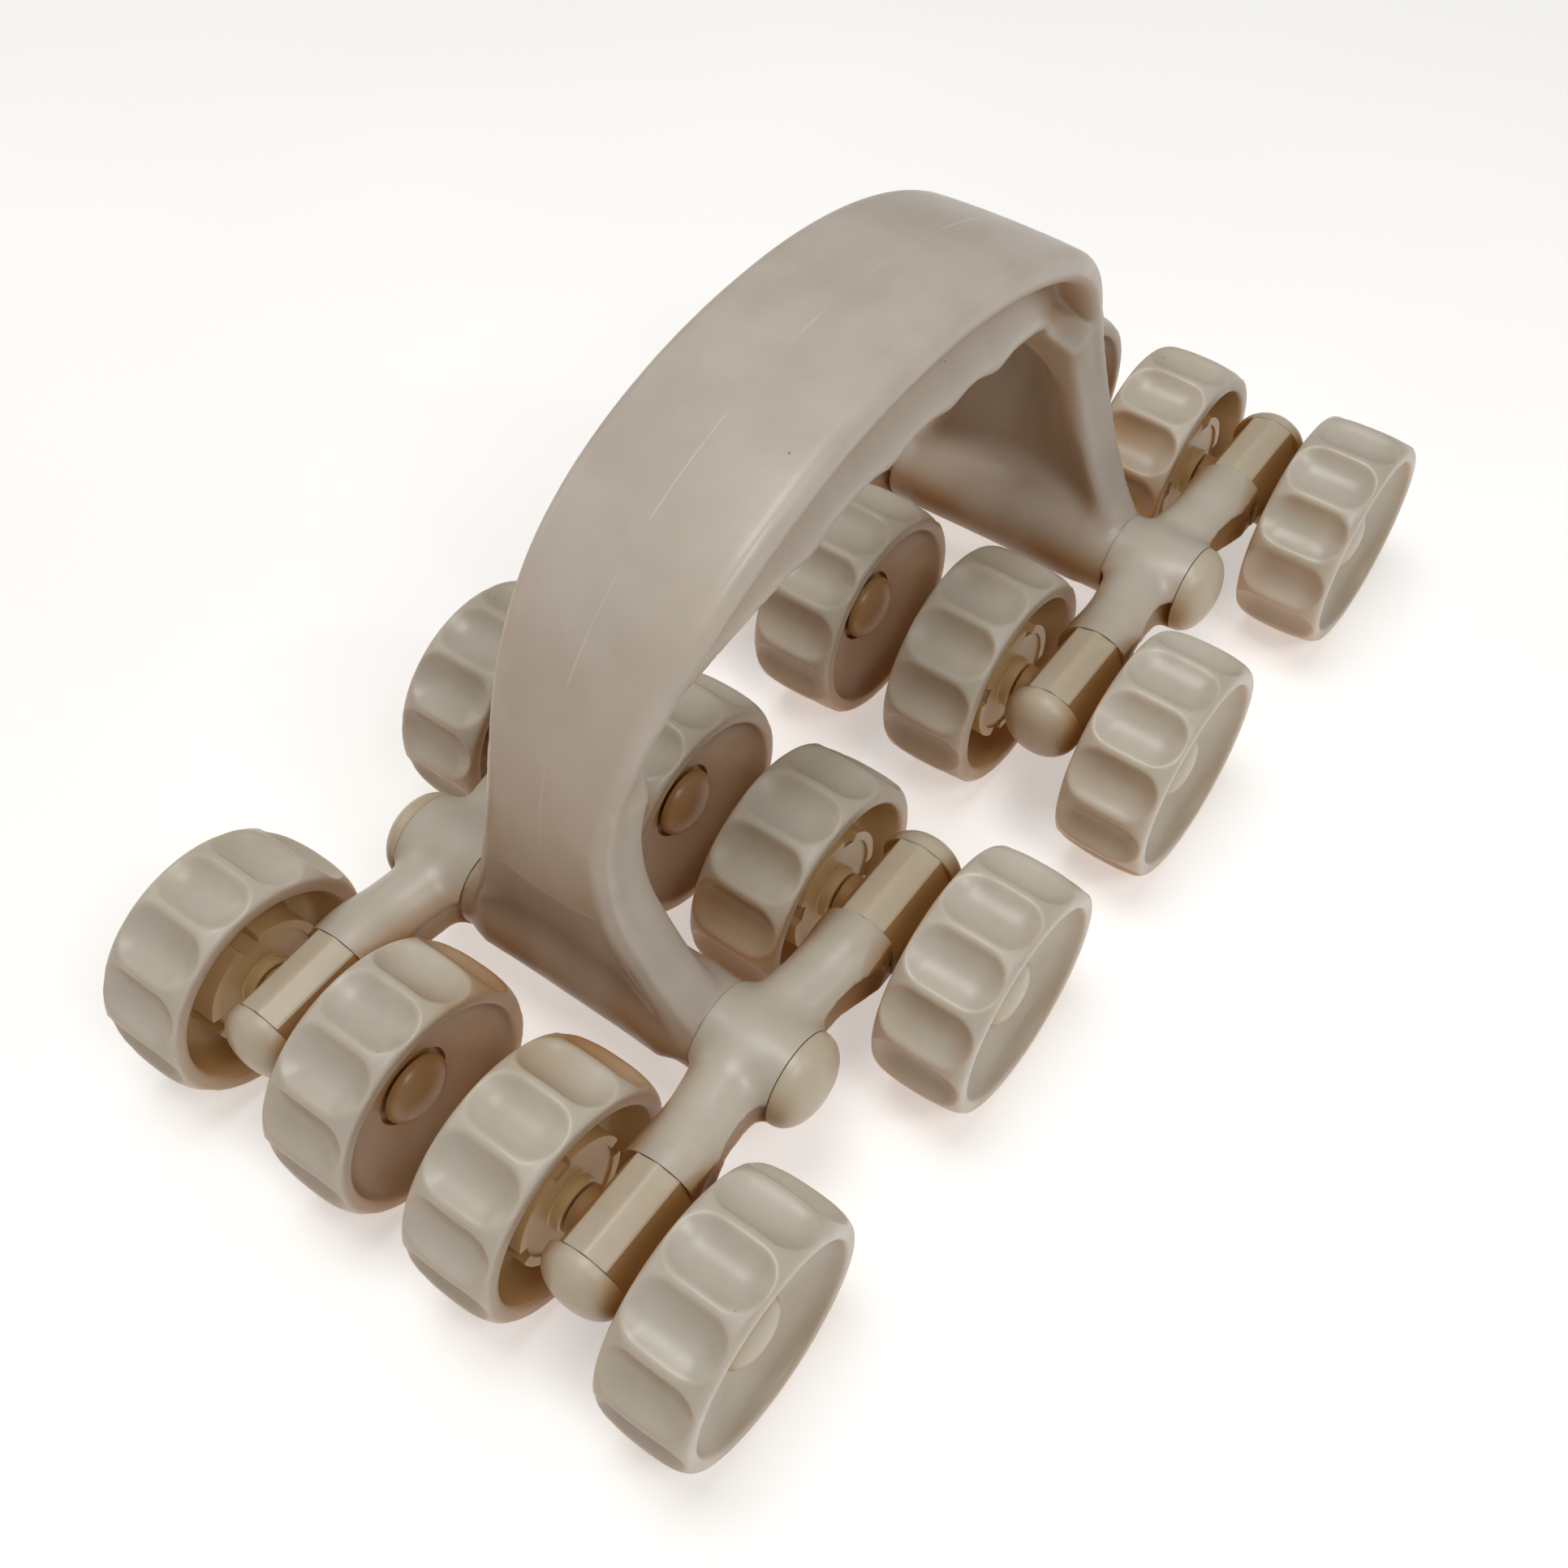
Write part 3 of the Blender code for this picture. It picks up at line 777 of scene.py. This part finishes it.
def sleeve_field(points):
    """A sleeve along X with flats facing the wheels and a cross boss for the axle below."""
    y = np.abs(points[:, 1])
    z = points[:, 2]
    round_part = np.hypot(y, z) - SLEEVE_RADIUS
    side = y * math.sin(SIDE_FLAT_TILT) + z * math.cos(SIDE_FLAT_TILT) - SIDE_FLAT_REACH
    body = blend_max(round_part, side, FLAT_EDGE)
    body = blend_max(body, y - LOW_FLAT_REACH, LOW_FLAT_EDGE)
    top = z * math.cos(TOP_FLAT_TILT) + y * math.sin(TOP_FLAT_TILT) - TOP_FLAT_REACH
    body = blend_max(body, top, TOP_FLAT_EDGE)
    boss = np.hypot(points[:, 0], z + ARM_HEIGHT - AXLE_HEIGHT) - BOSS_RADIUS
    boss = np.maximum(boss, y - BOSS_REACH)
    return blend_min(body, boss, BOSS_BLEND)


def make_sleeve_mesh():
    points, quads = surface(sleeve_field, *SLEEVE_BOX, SLEEVE_CELL)
    mesh = mesh_from("sleeve_moulding", points, quads)
    cut_flat(mesh, [((SLEEVE_HALF, 0, 0), (1, 0, 0)), ((-SLEEVE_HALF, 0, 0), (-1, 0, 0))])
    return finish_mesh(mesh, [cream], sharp_angle=28.0)


def dome_outline(radius, height, base, power=2.2, steps=12):
    """Half outline of a domed cap, from the middle of its flat side to its tip."""
    outline = [(0.0, base), (radius - CAP_EDGE, base), (radius, base + CAP_EDGE)]
    for step in range(1, steps):
        turn = QUARTER * step / steps
        outline.append((
            radius * math.cos(turn) ** (2.0 / power),
            base + CAP_EDGE + (height - CAP_EDGE) * math.sin(turn) ** (2.0 / power)))
    outline.append((0.0, base + height))
    return outline


def make_cap_mesh(name, radius, height, power):
    points, faces = turned([dome_outline(radius, height, 0.0, power)], CAP_STEPS)
    return finish_mesh(mesh_from(name, points, faces), [cream])


# Wheels and axles; a wheel's height runs along its axle, and + is its capped outer side

RIM_HALF = 7.5
RIM_RADIUS = 17.0
FLUTES = 12
FLUTE_HALF_WIDTH = 4.25
FLUTE_STRAIGHT = 3.4
FLUTE_HALF_LENGTH = 7.2
FLUTE_FLOOR = 16.6
FLUTE_SHARPNESS = 0.75
FLUTE_EDGE = 0.012
FLUTE_TRIM = 0.02
TREAD_POWER = 2.5
TREAD_STEPS = 32
RING_INNER = 8.6
RING_OUTER = 10.0
RING_TOP = -6.1
NOTCH_HALF_ANGLE = math.radians(9.0)
NOTCH_TOP = -0.5
WHEEL_STEPS = 288
# The wheel's inner hollow, inside this radius and below this height, takes the tan material as
# painted shade
HOLLOW_SHADE_RADIUS = 15.35
HOLLOW_SHADE_HEIGHT = 0.9
AXLE_CAP_RADIUS = 5.6
AXLE_CAP_RISE = 3.0
AXLE_CAP_BASE = WHEEL_Y + 3.08
AXLE_RADIUS = 1.3
AXLE_OVERLAP = 0.5

# How far each wheel has rolled, in sixths of a flute
PHASES = 6
WHEEL_PHASES = {
    "1a_near": 0, "1a_far": 0, "1b_near": 0, "1b_far": 5,
    "2a_near": 0, "2a_far": 0, "2b_near": 3, "2b_far": 4,
    "3a_near": 0, "3a_far": 5, "3b_near": 4, "3b_far": 3,
    "4a_near": 1, "4a_far": 2, "4b_near": 2, "4b_far": 4,
}


def tread_points():
    """The barrel-shaped tread from the inner rim to the outer rim."""
    points = []
    for step in range(TREAD_STEPS + 1):
        turn = math.pi * (step / TREAD_STEPS - 0.5)
        rise = math.cos(turn) ** (2.0 / TREAD_POWER)
        height = math.copysign(abs(math.sin(turn)) ** (2.0 / TREAD_POWER), turn) * RIM_HALF
        points.append((RIM_RADIUS + (WHEEL_RADIUS - RIM_RADIUS) * rise, height))
    return points


def wheel_outline():
    """The wheel's closed outline, from the bore out to the tread and back."""
    inner_side = [
        (1.6, -7.5), (3.9, -7.5), (4.2, -7.2), (4.2, -5.9), (4.4, -5.7), (RING_INNER, -5.7),
        (RING_INNER, RING_TOP), (RING_OUTER, RING_TOP), (RING_OUTER, -5.3), (RING_OUTER, -5.0),
        (RING_OUTER, -0.6), (RING_OUTER + 0.5, 0.2), (12.6, 0.3), (13.7, -0.2), (14.3, -1.2),
        (14.6, -2.6), (15.0, -5.0), (15.3, -7.0),
        (15.4, -7.3), (15.65, -7.5), (16.3, -7.55),
    ]
    outer_side = [
        (16.3, 7.55), (15.85, 7.45), (15.65, 7.25), (15.5, 6.9), (15.1, 6.1), (14.3, 5.2),
        (13.1, 4.5), (11.7, 3.95), (10.1, 3.5), (8.4, 3.2), (6.8, 3.05), (6.3, 3.0),
        (6.2, 2.0), (1.6, 2.0),
    ]
    return inner_side + tread_points() + outer_side


def fluted(radius, height, angles):
    """Sink flutes into the tread, and notches into the clip ring inside."""
    radii = np.full(len(angles), radius)
    if RING_INNER < radius <= RING_OUTER and height < NOTCH_TOP:
        across = np.abs((angles + QUARTER / 2.0) % QUARTER - QUARTER / 2.0)
        radii[across < NOTCH_HALF_ANGLE] = RING_INNER
    if radius < RIM_RADIUS:
        return radii
    pitch = 2.0 * math.pi / FLUTES
    across = ((angles + pitch / 2.0) % pitch - pitch / 2.0) * WHEEL_RADIUS
    end = max(0.0, abs(height) - FLUTE_STRAIGHT) / (FLUTE_HALF_LENGTH - FLUTE_STRAIGHT)
    spread = (across / FLUTE_HALF_WIDTH) ** 2 + end * end
    sunk = 1.0 - spread
    sunk = 0.5 * (sunk + np.sqrt(sunk * sunk + FLUTE_EDGE)) - FLUTE_TRIM
    return radii - np.maximum(sunk, 0.0) ** FLUTE_SHARPNESS * (radius - FLUTE_FLOOR)


def make_wheel_mesh():
    steps = WHEEL_STEPS
    points, faces = turned([wheel_outline()], steps, fluted)
    mesh = mesh_from("wheel_moulding", points, faces)
    finish_mesh(mesh, [ivory, tan], sharp_angle=40.0)
    # Painted shade: faces in the wheel's inner hollow take the warmer, darker tan material
    for face in mesh.polygons:
        inward = face.center.z < HOLLOW_SHADE_HEIGHT * MM
        face.material_index = int(inward and face.center.xy.length < HOLLOW_SHADE_RADIUS * MM)
    return mesh


def make_axle_mesh():
    """An axle rod with a domed cap at each end."""
    cap = dome_outline(AXLE_CAP_RADIUS, AXLE_CAP_RISE, AXLE_CAP_BASE)
    other = [(radius, -height) for radius, height in cap]
    end = AXLE_CAP_BASE + AXLE_OVERLAP
    rod = [(0.0, -end), (AXLE_RADIUS, -end), (AXLE_RADIUS, end), (0.0, end)]
    points, faces = turned([rod, cap, other], CAP_STEPS)
    return finish_mesh(mesh_from("axle_moulding", points, faces), [cream])


def turned_wheels(wheel):
    """Copies of the wheel mesh, each turned a little further about its axle."""
    wheels = []
    for phase in range(PHASES):
        turn = phase * 2.0 * math.pi / (FLUTES * PHASES)
        copy = wheel.copy()
        copy.transform(Matrix.Rotation(turn, 4, "Z"))
        wheels.append(copy)
    return wheels


def lay_x(sign):
    """Turn a spun piece's Z axis along +X or -X."""
    return Matrix.Rotation(sign * QUARTER, 4, "Y")


def lay_y(sign):
    """Turn a spun piece's Z axis along +Y or -Y."""
    return Matrix.Rotation(-sign * QUARTER, 4, "X")


def make_running_gear():
    yoke_out = make_yoke_mesh()
    yoke_in = mirrored(yoke_out, "yoke_moulding_mirrored", 1)
    sleeve = make_sleeve_mesh()
    hub_cap = make_cap_mesh("hub_cap_dome", HUB_CAP_RADIUS, HUB_CAP_RISE, HUB_CAP_POWER)
    arm_cap = make_cap_mesh("arm_cap_dome", ARM_CAP_RADIUS, ARM_CAP_RISE, ARM_CAP_POWER)
    wheels = turned_wheels(make_wheel_mesh())
    axle = make_axle_mesh()
    corners = ((-1, -1), (-1, 1), (1, -1), (1, 1))
    for number, (x_side, y_side) in enumerate(corners, start=1):
        hub_x = x_side * BAR_X
        arm_y = y_side * ARM_Y
        rocker = f"rocker_{number}"
        place(
            f"yoke_moulding_{number}", yoke_out if y_side > 0 else yoke_in,
            at(hub_x, arm_y, ARM_HEIGHT), rocker, [f"yoke_{number}"])
        place(
            f"hub_dome_{number}", hub_cap,
            at(hub_x, y_side * HUB_CAP_BASE, ARM_HEIGHT, lay_y(y_side)), "frame",
            [f"hub_cap_{number}"])
        for arm, arm_side in (("a", -1), ("b", 1)):
            name = f"{number}{arm}"
            centre_x = hub_x + arm_side * SLEEVE_X
            place(
                f"arm_dome_{name}", arm_cap,
                at(hub_x + arm_side * ARM_CAP_BASE, arm_y, ARM_HEIGHT, lay_x(arm_side)),
                rocker, [f"arm_cap_{name}"])
            place(
                f"sleeve_moulding_{name}", sleeve, at(centre_x, arm_y, ARM_HEIGHT),
                f"swivel_{name}", [f"sleeve_{name}"])
            place(
                f"axle_domes_{name}", axle, at(centre_x, arm_y, AXLE_HEIGHT, lay_y(1)),
                f"swivel_{name}", [f"axle_{name}", f"axle_cap_{name}"])
            for side, side_name in ((-1, "near"), (1, "far")):
                place(
                    f"wheel_moulding_{name}_{side_name}",
                    wheels[WHEEL_PHASES[f"{name}_{side_name}"]],
                    at(centre_x, arm_y + side * WHEEL_Y, AXLE_HEIGHT, lay_y(side)),
                    f"roller_{name}_{side_name}",
                    [f"wheel_{name}_{side_name}"])


def dress_pins():
    """Give the CAD pins, which show only at the bars' ends, the inner plastic."""
    for number in (1, 2):
        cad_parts[f"bar_pin_{number}"].material_slots[0].material = tan


# Studio, in metres

FLOOR_HALF = 1.6
FLOOR_DROP = 0.0002
FLOOR_CLOUD_SCALE = 6.0
FLOOR_DARK = (0.78, 0.775, 0.765, 1.0)
FLOOR_LIGHT = (0.82, 0.815, 0.81, 1.0)
FLOOR_GLOW = (1.0, 0.995, 0.985, 1.0)
FLOOR_GLOW_STRENGTH = 0.45
FLOOR_ROUGHNESS = 0.85
FLOOR_GLOSS = 0.1

WORLD_COLOUR = (1.0, 0.93, 0.84, 1.0)
WORLD_STRENGTH = 0.13
LIGHT_TARGET = Vector((0.0, 0.0, 0.03))

# Name, place, power in watts, size across and colour
LIGHTS = (
    ("key_light", (-0.12, -0.32, 0.5), 0.8, 0.2, (1.0, 1.0, 0.99)),
    ("glint_light", (0.1, -0.5, 0.42), 0.22, 0.05, (1.0, 1.0, 1.0)),
    ("top_light", (-0.05, 0.04, 0.7), 1.95, 0.35, (1.0, 1.0, 1.0)),
    ("back_light", (-0.1, 0.6, 0.3), 0.5, 0.4, (1.0, 0.93, 0.82)),
)


def stage_material():
    make = Nodes("studio_floor")
    place_in = make.add("ShaderNodeTexCoord").outputs["Object"]
    cloud = make.ramp(make.noise(place_in, FLOOR_CLOUD_SCALE, 2.0), 0.3, 0.7)
    make.link(make.mix(cloud, FLOOR_DARK, FLOOR_LIGHT), make.shader.inputs["Base Color"])
    make.shader.inputs["Emission Color"].default_value = FLOOR_GLOW
    make.shader.inputs["Emission Strength"].default_value = FLOOR_GLOW_STRENGTH
    make.shader.inputs["Roughness"].default_value = FLOOR_ROUGHNESS
    make.shader.inputs["Specular IOR Level"].default_value = FLOOR_GLOSS
    return make.material


def make_floor():
    corners = ((-1, -1), (1, -1), (1, 1), (-1, 1))
    mesh = bpy.data.meshes.new("studio_floor")
    mesh.from_pydata(
        [(x * FLOOR_HALF, y * FLOOR_HALF, 0.0) for x, y in corners], [], [(0, 1, 2, 3)])
    mesh.materials.append(stage_material())
    floor = bpy.data.objects.new("studio_floor", mesh)
    bpy.context.scene.collection.objects.link(floor)
    floor.location.z = -FLOOR_DROP


def area_light(name, location, power, size, colour):
    data = bpy.data.lights.new(name, "AREA")
    data.shape = "DISK"
    data.size = size
    data.energy = power
    data.color = colour
    light = bpy.data.objects.new(name, data)
    light.location = location
    light.rotation_mode = "QUATERNION"
    direction = LIGHT_TARGET - Vector(location)
    light.rotation_quaternion = direction.to_track_quat("-Z", "Y")
    bpy.context.scene.collection.objects.link(light)


def make_lights():
    for light in LIGHTS:
        area_light(*light)
    world = bpy.data.worlds.new("studio_world")
    world.use_nodes = True
    background = world.node_tree.nodes["Background"]
    background.inputs["Color"].default_value = WORLD_COLOUR
    background.inputs["Strength"].default_value = WORLD_STRENGTH
    bpy.context.scene.world = world


def make_camera():
    back = Vector((
        math.sin(CAMERA_AZIMUTH) * math.cos(CAMERA_ELEVATION),
        -math.cos(CAMERA_AZIMUTH) * math.cos(CAMERA_ELEVATION),
        math.sin(CAMERA_ELEVATION)))
    level = Vector((0.0, 0.0, 1.0)).cross(back).normalized()
    upright = back.cross(level)
    right = math.cos(CAMERA_ROLL) * level + math.sin(CAMERA_ROLL) * upright
    up = -math.sin(CAMERA_ROLL) * level + math.cos(CAMERA_ROLL) * upright
    data = bpy.data.cameras.new("photo_camera")
    data.sensor_width = 36.0
    data.lens = CAMERA_LENS
    data.clip_start = 0.01
    data.clip_end = 10.0
    camera = bpy.data.objects.new("photo_camera", data)
    turn = Matrix((right, up, back)).transposed().to_4x4()
    camera.matrix_world = Matrix.Translation(CAMERA_TARGET + back * CAMERA_DISTANCE) @ turn
    bpy.context.scene.collection.objects.link(camera)
    bpy.context.scene.camera = camera


ARCH_DEPTH, ARCH_X, ARCH_Z = arch_tables()
make_camera()
make_floor()
make_lights()
make_handle()
make_running_gear()
dress_pins()
bpy.context.scene.view_settings.view_transform = "Standard"
